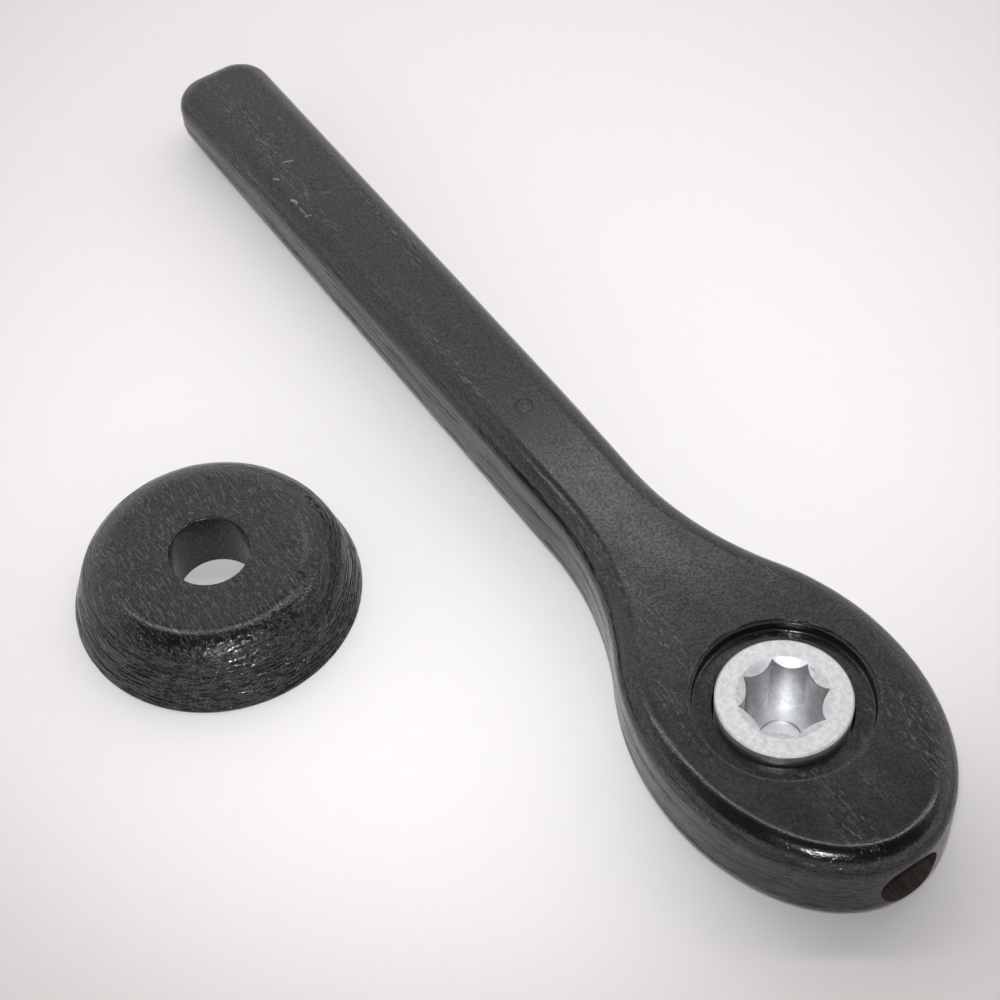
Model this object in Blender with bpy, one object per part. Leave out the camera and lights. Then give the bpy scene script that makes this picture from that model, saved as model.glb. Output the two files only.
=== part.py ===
"""Winder lever: a lacquered wooden lever with a star-socket insert, and its loose conical collar.

Units are metres and +Z is up.  The lever lies on its show face, as it does on a bench, so its
back face with the socket is on top.  The origin is on that resting plane, under the axis of
the socket.  +X runs along the lever to the tip of the grip, and +Y is to its left.
"""
import math

import bmesh
import bpy
from mathutils import Matrix, Vector

GAP = 0.0003                     # clearance between pieces that touch

# Wooden lever: plan outline
HEAD_HALF_WIDTH = 0.0228         # at the widest place, next to the socket axis
HEAD_END = 0.0327                # socket axis to the round end of the head
HEAD_WIDEST_X = -0.0006
SHOULDER_RADIUS = 0.0477         # convex flank of the head, towards the grip
NECK_RADIUS = 0.0594             # concave flank between head and grip
GRIP_HALF_WIDTH = 0.0086         # where the neck ends
GRIP_FLARE = 0.0085              # widening of each side per metre of grip
TIP_X = 0.1915
TIP_CORNER_RADIUS = 0.0068

# Wooden lever: thickness and edges
HEAD_THICKNESS = 0.0185
TIP_THICKNESS = 0.0127
TAPER_START_X = 0.070
BACK_EDGE_RADIUS = 0.0040
SHOW_EDGE_RADIUS = 0.0054
EDGE_SEGMENTS = 4

# Aluminium insert and its seat
INSERT_RADIUS = 0.011
INSERT_PROUD = 0.0003            # top of the insert above the back face
INSERT_RIM_CHAMFER = 0.0003
INSERT_FLOOR = 0.0030            # metal under the star socket
SEAT_WALL = 0.0032               # wood left under the insert
RECESS_BORDER = 0.0036           # ring of recess around the insert
RECESS_DEPTH = 0.0024
LIP_WIDTH = 0.0005               # small step around the mouth of the recess
LIP_DEPTH = 0.0004
GLUE_GROOVE_DEPTH = 0.0005
GLUE_GROOVE_WIDTH = 0.0016
GLUE_GROOVE_SHARE = 0.75         # of the plain band between hole and edge, at most

# Star socket for a square spindle, eight points
STAR_POINTS = 8
STAR_CUSP_RADIUS = 0.0075
STAR_WAIST_RADIUS = 0.0061
COUNTERSINK_RADIUS = 0.0077
COUNTERSINK_ANGLE = math.radians(60)     # half of the included angle
PILOT_RADIUS = 0.0036            # shallow round hole in the socket's floor
PILOT_DEPTH = 0.0006

# Clamp screw, an M6 cap screw, and its hole in the end of the head
THREAD_RADIUS = 0.003
SCREW_HEAD_RADIUS = 0.005
SCREW_HEAD_LENGTH = 0.006
HEX_KEY_RADIUS = 0.0025 / math.cos(math.radians(30))
HEX_DEPTH = 0.003
SCREW_HOLE_CLEARANCE = 0.0003
HEAD_HOLE_CLEARANCE = 0.0004
SCREW_TIP_SETBACK = 0.0004       # tip of the screw behind the wall of the socket
SCREW_HEAD_STANDOFF = 0.0015     # head of the screw above the bottom of its hole

# Filler plugs in the back face
PLUG_RADIUS = 0.0016
PLUG_DEPTH = 0.006
PLUG_FIRST_X = 0.074
PLUG_PITCH = 0.072
PLUG_COUNT = 2

# Conical collar
COLLAR_X = 0.0827
COLLAR_Y = 0.0592
COLLAR_HEIGHT = 0.0119
COLLAR_BASE_RADIUS = 0.0252
COLLAR_FLAT_RADIUS = 0.0158
COLLAR_RIM_RADIUS = 0.0078
COLLAR_BORE_RADIUS = 0.0070
COLLAR_BORE_CHAMFER = 0.0003
COLLAR_BASE_CHAMFER = 0.0003

ROUND_SEGMENTS = 64
SMALL_SEGMENTS = 32
OVERCUT = 0.002                  # how far a cutter runs past the face it opens

INSERT_TOP = HEAD_THICKNESS + INSERT_PROUD
INSERT_BASE = SEAT_WALL + GAP
SOCKET_FLOOR = INSERT_BASE + INSERT_FLOOR
CLAMP_Z = HEAD_THICKNESS / 2
RECESS_RADIUS = INSERT_RADIUS + RECESS_BORDER
HEAD_HOLE_X = -(RECESS_RADIUS + LIP_WIDTH + GAP)     # the wide hole ends outside the recess


def clear_scene():
    """Remove every object that the scene starts with."""
    for item in list(bpy.data.objects):
        bpy.data.objects.remove(item, do_unlink=True)


def material(name, colour, roughness, metallic=0.0):
    """Principled material with one colour."""
    made = bpy.data.materials.new(name)
    made.use_nodes = True
    shader = made.node_tree.nodes["Principled BSDF"]
    shader.inputs["Base Color"].default_value = (*colour, 1.0)
    shader.inputs["Roughness"].default_value = roughness
    shader.inputs["Metallic"].default_value = metallic
    made.diffuse_color = (*colour, 1.0)
    return made


def object_from(name, bm, finish=None, parent=None):
    """Turn a bmesh into an object, with its faces out and its round faces shaded smooth."""
    bmesh.ops.recalc_face_normals(bm, faces=bm.faces)
    mesh = bpy.data.meshes.new(name)
    bm.to_mesh(mesh)
    bm.free()
    mesh.shade_smooth()
    mesh.set_sharp_from_angle(angle=math.radians(30))
    made = bpy.data.objects.new(name, mesh)
    bpy.context.scene.collection.objects.link(made)
    made.parent = parent
    if finish is not None:
        mesh.materials.append(finish)
    return made


def arc(centre, radius, start, end, steps):
    """Points on an arc about centre, from angle start to angle end in radians."""
    angles = [start + (end - start) * i / steps for i in range(steps + 1)]
    return [(centre[0] + radius * math.cos(a), centre[1] + radius * math.sin(a)) for a in angles]


def turned(name, profile, segments=ROUND_SEGMENTS, finish=None, parent=None):
    """Solid of revolution about Z, from a profile of (radius, height) points that starts and
    ends on the axis or, for a ring, closes on itself."""
    bm = bmesh.new()
    rings = []
    for radius, height in profile:
        if radius == 0:
            rings.append([bm.verts.new((0, 0, height))])
            continue
        ring = []
        for i in range(segments):
            a = 2 * math.pi * i / segments
            ring.append(bm.verts.new((radius * math.cos(a), radius * math.sin(a), height)))
        rings.append(ring)
    is_ring = profile[0][0] != 0
    pairs = list(zip(rings, rings[1:]))
    if is_ring:
        pairs.append((rings[-1], rings[0]))
    for low, high in pairs:
        for i in range(segments):
            j = (i + 1) % segments
            corners = [low[i % len(low)], low[j % len(low)], high[j % len(high)], high[i % len(high)]]
            bm.faces.new(list(dict.fromkeys(corners)))
    return object_from(name, bm, finish, parent)


def prism(name, outline, low, high, finish=None, parent=None):
    """Straight extrusion of a plan outline from height low to height high."""
    bm = bmesh.new()
    base = bm.faces.new([bm.verts.new((x, y, low)) for x, y in outline])
    top = bmesh.ops.extrude_face_region(bm, geom=[base])
    moved = [v for v in top["geom"] if isinstance(v, bmesh.types.BMVert)]
    bmesh.ops.translate(bm, verts=moved, vec=(0, 0, high - low))
    return object_from(name, bm, finish, parent)


def cut(target, cutter):
    """Subtract the cutter from the target, and keep the cutter as a hidden guide."""
    cutter.hide_render = True
    cutter.display_type = "WIRE"
    modifier = target.modifiers.new("cut_" + cutter.name, "BOOLEAN")
    modifier.operation = "DIFFERENCE"
    modifier.solver = "EXACT"
    modifier.object = cutter


def lay_along_x(item, x, z):
    """Turn a piece made about Z so that its +Z runs along +X, with its base at x."""
    item.matrix_world = Matrix.Translation((x, 0, z)) @ Matrix.Rotation(math.pi / 2, 4, "Y")


def left_flank():
    """Left half of the lever's plan, from the tip of the grip to the end of the head."""
    shoulder = Vector((HEAD_WIDEST_X, HEAD_HALF_WIDTH - SHOULDER_RADIUS))
    neck_y = GRIP_HALF_WIDTH + NECK_RADIUS
    reach = SHOULDER_RADIUS + NECK_RADIUS
    neck = Vector((shoulder.x + math.sqrt(reach ** 2 - (neck_y - shoulder.y) ** 2), neck_y))
    meeting = math.atan2(neck.y - shoulder.y, neck.x - shoulder.x)
    flare = math.atan(GRIP_FLARE)
    grip_end_y = GRIP_HALF_WIDTH + GRIP_FLARE * (TIP_X - neck.x)
    corner = (TIP_X - TIP_CORNER_RADIUS, grip_end_y - TIP_CORNER_RADIUS)
    points = arc(corner, TIP_CORNER_RADIUS, 0, math.pi / 2 + flare, 8)
    first = points[-1]
    last = arc(neck, NECK_RADIUS, -math.pi / 2 + flare, -math.pi / 2 + flare, 1)[0]
    for share in (0.25, 0.5, 0.75):
        points.append((first[0] + (last[0] - first[0]) * share,
                       first[1] + (last[1] - first[1]) * share))
    points += arc(neck, NECK_RADIUS, -math.pi / 2 + flare, meeting - math.pi, 10)
    points += arc(shoulder, SHOULDER_RADIUS, meeting, math.pi / 2, 12)[1:]
    for i in range(1, 21):
        a = math.pi / 2 * (1 + i / 20)
        points.append((HEAD_WIDEST_X + (HEAD_END + HEAD_WIDEST_X) * math.cos(a),
                       HEAD_HALF_WIDTH * math.sin(a)))
    return points


def back_height(x):
    """Height of the back face, level over the head and neck and falling to the tip."""
    share = max(0.0, (x - TAPER_START_X) / (TIP_X - TAPER_START_X))
    return HEAD_THICKNESS + (TIP_THICKNESS - HEAD_THICKNESS) * share


def split_at(points, x):
    """Add the point where the flank crosses x, so that a fold can start there."""
    result = [points[0]]
    for a, b in zip(points, points[1:]):
        if (a[0] - x) * (b[0] - x) < 0:
            share = (x - a[0]) / (b[0] - a[0])
            result.append((x, a[1] + (b[1] - a[1]) * share))
        result.append(b)
    return result


def lever_blank(finish, parent):
    """Lever before it is bored: its outline extruded, its back tapered, its edges rounded."""
    left = split_at(left_flank(), TAPER_START_X)
    right = [(x, -y) for x, y in reversed(left[:-1])]
    outline = left + right
    bm = bmesh.new()
    base = bm.faces.new([bm.verts.new((x, y, 0)) for x, y in outline])
    top = bmesh.ops.extrude_face_region(bm, geom=[base])["geom"]
    for vert in top:
        if isinstance(vert, bmesh.types.BMVert):
            vert.co.z = back_height(vert.co.x)
    back = next(f for f in top if isinstance(f, bmesh.types.BMFace))
    fold = [v for v in back.verts if abs(v.co.x - TAPER_START_X) < 1e-6]
    bmesh.utils.face_split(back, fold[0], fold[1])
    bmesh.ops.recalc_face_normals(bm, faces=bm.faces)
    for is_back, radius in ((True, BACK_EDGE_RADIUS), (False, SHOW_EDGE_RADIUS)):
        edges = []
        for edge in bm.edges:
            level = all((v.co.z > HEAD_THICKNESS / 2) == is_back for v in edge.verts)
            if level and len(edge.link_faces) == 2 and edge.calc_face_angle() > math.radians(45):
                edges.append(edge)
        bmesh.ops.bevel(bm, geom=edges, offset=radius, segments=EDGE_SEGMENTS, profile=0.5,
                        affect="EDGES", clamp_overlap=True)
    return object_from("lever_body", bm, finish, parent)


def make_lever(finish, parent):
    """Wooden lever with the insert's seat, the clamp screw's hole and the plugs' holes."""
    lever = lever_blank(finish, parent)
    seat = turned("seat_cutter", [
        (0, SEAT_WALL),
        (INSERT_RADIUS + GAP, SEAT_WALL),
        (INSERT_RADIUS + GAP, HEAD_THICKNESS - RECESS_DEPTH),
        (RECESS_RADIUS, HEAD_THICKNESS - RECESS_DEPTH),
        (RECESS_RADIUS, HEAD_THICKNESS - LIP_DEPTH),
        (RECESS_RADIUS + LIP_WIDTH, HEAD_THICKNESS - LIP_DEPTH),
        (RECESS_RADIUS + LIP_WIDTH, HEAD_THICKNESS + OVERCUT),
        (0, HEAD_THICKNESS + OVERCUT)], parent=parent)
    cut(lever, seat)
    wide_end = HEAD_END + HEAD_HOLE_X + OVERCUT
    narrow_end = HEAD_END - INSERT_RADIUS - GAP + 2 * OVERCUT
    wide = SCREW_HEAD_RADIUS + HEAD_HOLE_CLEARANCE
    narrow = THREAD_RADIUS + SCREW_HOLE_CLEARANCE
    bore = turned("clamp_hole_cutter", [
        (0, 0),
        (wide, 0),
        (wide, wide_end),
        (narrow, wide_end),
        (narrow, narrow_end),
        (0, narrow_end)], SMALL_SEGMENTS, parent=parent)
    lay_along_x(bore, -HEAD_END - OVERCUT, CLAMP_Z)
    cut(lever, bore)
    for i in range(PLUG_COUNT):
        x = PLUG_FIRST_X + PLUG_PITCH * i
        top = back_height(x)
        radius = PLUG_RADIUS + GAP
        hole = turned(f"plug_hole_cutter_{i + 1}", [
            (0, top - PLUG_DEPTH - GAP), (radius, top - PLUG_DEPTH - GAP),
            (radius, top + OVERCUT), (0, top + OVERCUT)], SMALL_SEGMENTS, parent=parent)
        hole.location = (x, 0, 0)
        cut(lever, hole)


def star_outline(steps=5):
    """Plan of the star socket: cusps joined by arcs that bow inwards."""
    half = math.pi / STAR_POINTS
    chord = STAR_CUSP_RADIUS * math.sin(half)
    rise = STAR_CUSP_RADIUS * math.cos(half) - STAR_WAIST_RADIUS
    bow = (chord ** 2 + rise ** 2) / (2 * rise)
    spread = math.asin(chord / bow)
    points = []
    for k in range(STAR_POINTS):
        middle = 2 * math.pi * k / STAR_POINTS
        reach = STAR_WAIST_RADIUS + bow
        centre = (reach * math.cos(middle), reach * math.sin(middle))
        points += arc(centre, bow, middle + math.pi + spread, middle + math.pi - spread, steps)[:-1]
    return points


def make_insert(finish, parent):
    """Aluminium insert: a turned blank with the star socket and the clamp screw's hole."""
    groove = INSERT_RADIUS - GLUE_GROOVE_DEPTH
    profile = [(0, INSERT_BASE), (INSERT_RADIUS - INSERT_RIM_CHAMFER, INSERT_BASE),
               (INSERT_RADIUS, INSERT_BASE + INSERT_RIM_CHAMFER)]
    below_hole = (INSERT_BASE + INSERT_RIM_CHAMFER, CLAMP_Z - THREAD_RADIUS - GAP)
    above_hole = (CLAMP_Z + THREAD_RADIUS + GAP, HEAD_THICKNESS - RECESS_DEPTH - GAP)
    for bottom, top in (below_hole, above_hole):
        width = min(GLUE_GROOVE_WIDTH, GLUE_GROOVE_SHARE * (top - bottom))
        low = (bottom + top - width) / 2
        high = low + width
        profile += [(INSERT_RADIUS, low), (groove, low), (groove, high), (INSERT_RADIUS, high)]
    profile += [(INSERT_RADIUS, INSERT_TOP - INSERT_RIM_CHAMFER),
                (INSERT_RADIUS - INSERT_RIM_CHAMFER, INSERT_TOP), (0, INSERT_TOP)]
    insert = turned("socket_insert", profile, finish=finish, parent=parent)
    star = prism("star_cutter", star_outline(), SOCKET_FLOOR, INSERT_TOP + OVERCUT, parent=parent)
    cut(insert, star)
    depth = COUNTERSINK_RADIUS / math.tan(COUNTERSINK_ANGLE)
    mouth = COUNTERSINK_RADIUS + OVERCUT * math.tan(COUNTERSINK_ANGLE)
    sink = turned("countersink_cutter", [
        (0, INSERT_TOP - depth), (mouth, INSERT_TOP + OVERCUT), (0, INSERT_TOP + OVERCUT)],
        parent=parent)
    cut(insert, sink)
    pilot = turned("pilot_cutter", [
        (0, SOCKET_FLOOR - PILOT_DEPTH), (PILOT_RADIUS, SOCKET_FLOOR - PILOT_DEPTH),
        (PILOT_RADIUS, SOCKET_FLOOR + OVERCUT), (0, SOCKET_FLOOR + OVERCUT)],
        SMALL_SEGMENTS, parent=parent)
    cut(insert, pilot)
    tapped_radius = THREAD_RADIUS + GAP
    tapped_length = INSERT_RADIUS + OVERCUT
    tapped = turned("tapped_hole_cutter", [
        (0, 0), (tapped_radius, 0), (tapped_radius, tapped_length), (0, tapped_length)],
        SMALL_SEGMENTS, parent=parent)
    lay_along_x(tapped, -INSERT_RADIUS - OVERCUT, CLAMP_Z)
    cut(insert, tapped)


def make_clamp_screw(finish, parent):
    """Cap screw in the end of the head; its own frame is on the screw's axis."""
    tip = -STAR_WAIST_RADIUS - SCREW_TIP_SETBACK
    bearing = HEAD_HOLE_X - SCREW_HEAD_STANDOFF
    shank = tip - bearing
    total = SCREW_HEAD_LENGTH + shank
    edge = 0.0004
    screw = turned("clamp_screw", [
        (0, 0), (SCREW_HEAD_RADIUS - edge, 0), (SCREW_HEAD_RADIUS, edge),
        (SCREW_HEAD_RADIUS, SCREW_HEAD_LENGTH), (THREAD_RADIUS, SCREW_HEAD_LENGTH),
        (THREAD_RADIUS, total - 2 * edge), (THREAD_RADIUS - 2 * edge, total), (0, total)],
        SMALL_SEGMENTS, finish, parent)
    lay_along_x(screw, bearing - SCREW_HEAD_LENGTH, CLAMP_Z)
    hexagon = turned("hex_cutter", [
        (0, -OVERCUT), (HEX_KEY_RADIUS, -OVERCUT), (HEX_KEY_RADIUS, HEX_DEPTH), (0, HEX_DEPTH)],
        6, parent=parent)
    lay_along_x(hexagon, bearing - SCREW_HEAD_LENGTH, CLAMP_Z)
    cut(screw, hexagon)


def make_plugs(finish, parent):
    """Round filler plugs along the lever's centre line, cut flush with the back face."""
    for i in range(PLUG_COUNT):
        x = PLUG_FIRST_X + PLUG_PITCH * i
        bm = bmesh.new()
        bmesh.ops.create_cone(bm, cap_ends=True, segments=SMALL_SEGMENTS, radius1=PLUG_RADIUS,
                              radius2=PLUG_RADIUS, depth=PLUG_DEPTH)
        middle = back_height(x) - PLUG_DEPTH / 2
        bmesh.ops.translate(bm, verts=bm.verts, vec=(x, 0, middle))
        for vert in bm.verts:
            if vert.co.z > middle:
                vert.co.z = back_height(vert.co.x)
        object_from(f"filler_plug_{i + 1}", bm, finish, parent)


def collar_profile():
    """Half section of the collar, as a closed ring: bore, top flat, round rim and cone side."""
    rim = Vector((COLLAR_FLAT_RADIUS, COLLAR_HEIGHT - COLLAR_RIM_RADIUS))
    foot = Vector((COLLAR_BASE_RADIUS, COLLAR_BASE_CHAMFER))
    to_rim = rim - foot
    lean = math.atan2(to_rim.y, to_rim.x) - math.asin(COLLAR_RIM_RADIUS / to_rim.length)
    touch = lean - math.pi / 2
    bore = COLLAR_BORE_RADIUS
    chamfer = COLLAR_BORE_CHAMFER
    return [(bore, COLLAR_HEIGHT - chamfer), (bore, 0),
            (COLLAR_BASE_RADIUS - COLLAR_BASE_CHAMFER, 0), foot[:],
            *arc(rim, COLLAR_RIM_RADIUS, touch, math.pi / 2, 8),
            (bore + chamfer, COLLAR_HEIGHT)]


def make_collar(finish):
    """Loose collar, turned about its own bore, standing beside the lever."""
    pivot = bpy.data.objects.new("collar_place", None)
    bpy.context.scene.collection.objects.link(pivot)
    pivot.location = (COLLAR_X, COLLAR_Y, 0)
    turned("collar", collar_profile(), finish=finish, parent=pivot)


def main():
    clear_scene()
    lacquer = material("black_lacquered_wood", (0.018, 0.018, 0.019), 0.38)
    filler = material("lacquered_filler", (0.024, 0.023, 0.022), 0.45)
    aluminium = material("satin_aluminium", (0.82, 0.82, 0.84), 0.34, 1.0)
    steel = material("dark_zinc_steel", (0.30, 0.29, 0.28), 0.40, 1.0)
    lever_place = bpy.data.objects.new("lever_place", None)
    bpy.context.scene.collection.objects.link(lever_place)
    make_lever(lacquer, lever_place)
    make_insert(aluminium, lever_place)
    make_clamp_screw(steel, lever_place)
    make_plugs(filler, lever_place)
    make_collar(lacquer)
    bpy.context.view_layer.update()


main()
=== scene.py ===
"""Looks of the winder lever and its loose collar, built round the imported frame.

Metres, +Z up, in the frame's own axes: the lever lies along +X on its show face, with the socket
on top, and the collar stands beside it.
"""
import itertools
import math

import bmesh
import bpy
import numpy as np
from mathutils import Matrix, Vector


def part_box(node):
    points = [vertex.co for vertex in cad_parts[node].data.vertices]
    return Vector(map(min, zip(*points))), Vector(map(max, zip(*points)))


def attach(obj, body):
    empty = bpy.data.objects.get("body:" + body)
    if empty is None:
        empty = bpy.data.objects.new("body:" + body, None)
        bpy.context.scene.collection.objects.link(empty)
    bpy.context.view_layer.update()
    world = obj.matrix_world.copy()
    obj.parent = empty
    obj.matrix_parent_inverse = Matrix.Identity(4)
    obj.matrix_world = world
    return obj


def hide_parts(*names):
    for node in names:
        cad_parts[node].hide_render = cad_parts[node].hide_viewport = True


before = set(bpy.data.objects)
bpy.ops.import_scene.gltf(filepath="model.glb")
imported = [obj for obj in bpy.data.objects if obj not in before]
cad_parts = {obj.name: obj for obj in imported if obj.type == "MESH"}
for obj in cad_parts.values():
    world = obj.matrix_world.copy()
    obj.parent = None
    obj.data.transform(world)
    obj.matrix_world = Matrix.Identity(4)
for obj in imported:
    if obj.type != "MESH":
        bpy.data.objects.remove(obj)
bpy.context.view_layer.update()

# ------------------------------------------------------------------------------------------
# Wooden lever.  One piece of ring-porous hardwood, band-sawn to its outline, rounded over along
# both edges, bored from the back for the insert and from the end of the head for the clamp
# screw, then stained and lacquered black with the grain left open.

lever_low, lever_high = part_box("lever_body")
insert_low, insert_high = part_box("socket_insert")
tip_x = lever_high.x
head_end = -lever_low.x
head_half_width = lever_high.y
head_thickness = lever_high.z
insert_radius = insert_high.x
insert_top = insert_high.z
insert_base = insert_low.z

gap = 0.0003
head_widest_x = -0.0006
shoulder_radius = 0.0477
neck_radius = 0.0594
grip_half_width = 0.0086
grip_flare = 0.0085
tip_corner_radius = 0.0068
tip_thickness = 0.0127
taper_start_x = 0.070
taper_blend = 0.016
back_edge_radius = 0.0040
show_edge_radius = 0.0054
recess_radius = insert_radius + 0.0036
recess_depth = 0.0024
lip_width = 0.0005
lip_depth = 0.0004
clamp_z = head_thickness / 2
screw_head_radius = 0.005
thread_radius = 0.003
head_hole_x = -(recess_radius + lip_width + gap)
plug_radius = 0.0016
plug_depth = 0.006
plug_places = (0.074, 0.146)


def back_height(x):
    """Height of the back face: level over head and neck, then a straight fall to the tip; the
    two are blended by a parabola that touches both."""
    past = x - taper_start_x
    blended = np.clip(past + taper_blend, 0, None) ** 2 / (4 * taper_blend)
    run = np.where(past > taper_blend, past, blended)
    return head_thickness + (tip_thickness - head_thickness) * run / (tip_x - taper_start_x)


arc_steps = 400


def arc_points(centre, radius, start, end):
    """Close points on a circle's arc: centre plus radius times cosine and sine of the angle."""
    angle = np.linspace(start, end, arc_steps)
    return np.stack([centre[0] + radius * np.cos(angle), centre[1] + radius * np.sin(angle)], 1)


def even_steps(points, count):
    """The same line with points at equal steps along its length, by linear interpolation."""
    length = np.concatenate([[0], np.cumsum(np.linalg.norm(np.diff(points, axis=0), axis=1))])
    wanted = np.linspace(0, length[-1], count)
    return np.stack([np.interp(wanted, length, column) for column in points.T], 1)


def lever_plan(count):
    """Left half of the plan, from the middle of the tip to the middle of the head's end: half of
    the straight tip, its corner's arc, the flared grip, the hollow neck's arc, the shoulder's arc
    and a quarter of an ellipse for the head's end."""
    shoulder = np.array([head_widest_x, head_half_width - shoulder_radius])
    neck_y = grip_half_width + neck_radius
    reach = shoulder_radius + neck_radius
    neck = np.array([shoulder[0] + math.sqrt(reach ** 2 - (neck_y - shoulder[1]) ** 2), neck_y])
    meeting = math.atan2(neck[1] - shoulder[1], neck[0] - shoulder[0])
    flare = math.atan(grip_flare)
    grip_end_y = grip_half_width + grip_flare * (tip_x - neck[0])
    corner = (tip_x - tip_corner_radius, grip_end_y - tip_corner_radius)
    turn = np.linspace(math.pi / 2, math.pi, arc_steps)
    end = np.stack([head_widest_x + (head_end + head_widest_x) * np.cos(turn),
                    head_half_width * np.sin(turn)], 1)
    parts = [[(tip_x, 0.0)],
             arc_points(corner, tip_corner_radius, 0, math.pi / 2 + flare),
             arc_points(neck, neck_radius, flare - math.pi / 2, meeting - math.pi),
             arc_points(shoulder, shoulder_radius, meeting, math.pi / 2)[1:],
             end[1:]]
    return even_steps(np.concatenate(parts), count)


def plan_normals(plan):
    """Outward directions along a plan walked with the solid on its left: each step turned right."""
    step = np.gradient(plan, axis=0)
    step[0] = (0, 1)
    step[-1] = (0, -1)
    normal = np.stack([step[:, 1], -step[:, 0]], 1)
    return normal / np.linalg.norm(normal, axis=1, keepdims=True)


def softened(corners, radii, widest=0.0008, arc_count=6):
    """Profile with each inner corner replaced by an arc of its own radius that touches both of
    its sides, and with straight stretches divided into pieces no longer than widest."""
    corners = [np.array(c, float) for c in corners]
    line = [corners[0]]
    for before, at, after, radius in zip(corners, corners[1:], corners[2:], radii):
        back = (before - at) / np.linalg.norm(before - at)
        on = (after - at) / np.linalg.norm(after - at)
        half = math.acos(np.clip(back @ on, -1, 1)) / 2
        first = at + back * radius / math.tan(half)
        last = at + on * radius / math.tan(half)
        middle = at + (back + on) / np.linalg.norm(back + on) * radius / math.sin(half)
        for share in np.linspace(0, 1, arc_count):
            chord = first + (last - first) * share - middle
            line.append(middle + chord / np.linalg.norm(chord) * radius)
    line.append(corners[-1])
    divided = [line[0]]
    for a, b in zip(line, line[1:]):
        pieces = max(1, math.ceil(np.linalg.norm(b - a) / widest))
        divided += [a + (b - a) * i / pieces for i in range(1, pieces + 1)]
    return np.array(divided)


def turned(profile, angles):
    """Grid of a profile of (radius, height) carried round Z through the given angles."""
    radius = profile[None, :, 0]
    x = radius * np.cos(angles)[:, None]
    y = radius * np.sin(angles)[:, None]
    z = np.broadcast_to(profile[None, :, 1], x.shape)
    return np.stack([x, y, z], axis=2)


def skin(grid):
    """Corners and four-sided faces of a grid of points whose last row joins its first."""
    rows, columns = grid.shape[:2]
    index = np.arange(rows * columns).reshape(rows, columns)
    index = np.vstack([index, index[:1]])
    faces = np.stack([index[:-1, :-1], index[1:, :-1], index[1:, 1:], index[:-1, 1:]], axis=2)
    return grid.reshape(-1, 3), faces.reshape(-1, 4)


merge_distance = 2e-6


def piece_from(name, skins, finishes=()):
    """One closed mesh object from skins that share their borders: corners that meet are merged,
    which also closes the poles, and all faces are turned outwards."""
    corners = []
    faces = []
    count = 0
    for some_corners, some_faces in skins:
        corners.append(some_corners)
        faces.append(some_faces + count)
        count += len(some_corners)
    mesh = bpy.data.meshes.new(name)
    mesh.from_pydata(np.concatenate(corners).tolist(), [], np.concatenate(faces).tolist())
    bm = bmesh.new()
    bm.from_mesh(mesh)
    bmesh.ops.remove_doubles(bm, verts=bm.verts, dist=merge_distance)
    bmesh.ops.recalc_face_normals(bm, faces=bm.faces)
    bm.to_mesh(mesh)
    bm.free()
    mesh.shade_smooth()
    for finish in finishes:
        mesh.materials.append(finish)
    made = bpy.data.objects.new(name, mesh)
    bpy.context.scene.collection.objects.link(made)
    return made


def corner_array(mesh, what="co"):
    """Positions or normals of a mesh's corners as one array."""
    values = np.empty(len(mesh.vertices) * 3, np.float32)
    if what == "co":
        mesh.vertices.foreach_get("co", values)
    else:
        mesh.vertex_normals.foreach_get("vector", values)
    return values.reshape(-1, 3).astype(float)


def smooth_step(low, high, values):
    """0 below low and 1 above high, with the soft rise 3t^2 - 2t^3 between them."""
    t = np.clip((values - low) / (high - low), 0, 1)
    return t * t * (3 - 2 * t)


table_size = 4096
lattice_primes = np.array([73856093, 19349663, 83492791])


def value_noise(points, cell, seed):
    """Smooth random values from 0 to 1: numbers drawn for the corners of a lattice of cells are
    blended inside each cell with a smooth step along all three axes.  A corner's number is looked
    up in a table at its whole-number place times three primes, joined by exclusive or."""
    table = np.random.default_rng(seed).random(table_size)
    place = points / np.array(cell)
    base = np.floor(place).astype(np.int64)
    t = place - base
    t = t * t * (3 - 2 * t)
    total = np.zeros(len(points))
    for corner in itertools.product((0, 1), repeat=3):
        mixed = np.bitwise_xor.reduce((base + corner) * lattice_primes, axis=1)
        weight = np.prod(np.where(corner, t, 1 - t), axis=1)
        total += weight * table[mixed % table_size]
    return total


wave_height = 0.0026
wave_mean = 0.65
groove_pitch = 0.00074


def open_grain(points, normals, depth, layer_pitch):
    """Height of the lacquered surface over a flat one.  The board's growth layers lie nearly
    level and wave along it.  Where a face cuts across them their edges stand as fine wavy
    ridges with grooves between, a cosine of the layer's height that is sharpened to a groove
    and broken up along its length, deeper in the early wood of each layer; and the whole face
    undulates a little."""
    wave = value_noise(points, (0.030, 0.012, 0.03), 11)
    wave += 0.30 * value_noise(points, (0.0065, 0.0045, 0.02), 12)
    level = points[:, 2] + wave_height * (wave - wave_mean)
    bent = points.copy()
    bent[:, 2] = level
    early = smooth_step(0.30, 0.75, 0.5 + 0.5 * np.cos(2 * math.pi * level / layer_pitch))
    jitter = 0.55 * value_noise(bent, (0.0022, 0.0018, 0.0009), 16)
    ripple = 0.5 + 0.5 * np.cos(2 * math.pi * (level / groove_pitch + jitter))
    groove = smooth_step(0.45, 0.95, ripple)
    length = smooth_step(0.36, 0.62, value_noise(bent, (0.0060, 0.0036, groove_pitch), 13))
    across = 1 - normals[:, 2] ** 2
    swell = value_noise(points, (0.012, 0.0035, 0.003), 15) - 0.5
    return depth * (0.35 * swell - (0.30 + 0.70 * early) * groove * length * across)


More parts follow.
